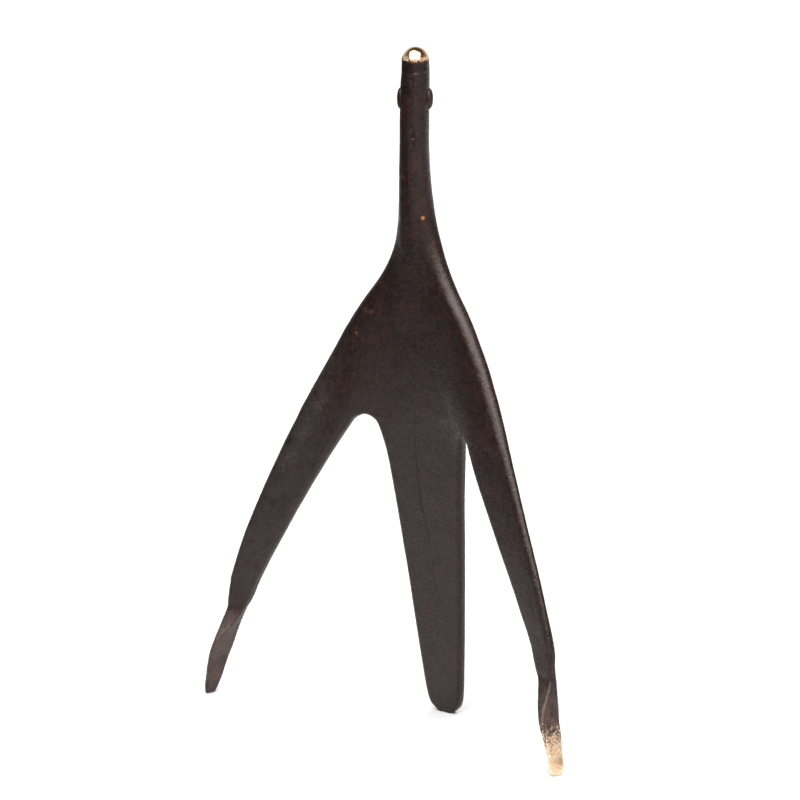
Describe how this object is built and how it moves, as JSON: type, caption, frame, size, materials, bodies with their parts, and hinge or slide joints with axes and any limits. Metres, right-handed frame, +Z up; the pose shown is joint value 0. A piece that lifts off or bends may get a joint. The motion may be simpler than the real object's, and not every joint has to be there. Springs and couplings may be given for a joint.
{
  "type": "three-legged brass figure",
  "caption": "Free-standing figure in dark patinated brass: a long neck with a polished knob and domed side bosses, splayed flat legs with turned feet, and a broad rear blade.",
  "frame": {"origin": "centre of the footprint, on the ground under the three soles", "axes": "+Z up, -Y the side the trunk faces and the two front feet reach towards, +X along the line through the front feet"},
  "size_m": [0.1736, 0.044, 0.26],
  "materials": {
    "dark_patina": "semi-matt dark brown-black patina on cast brass, a little worn along the edges",
    "bright_brass": "polished",
    "plain_brass": "turned, dull"
  },
  "bodies": {
    "root": {"spine": "dark_patina", "left_leg": "dark_patina", "right_leg": "dark_patina", "left_leg_rivet": "dark_patina", "right_leg_rivet": "dark_patina", "knob": "bright_brass", "knob_stud": "plain_brass", "cross_pin": "plain_brass", "left_boss": "dark_patina", "right_boss": "dark_patina"}
  },
  "joints": []
}
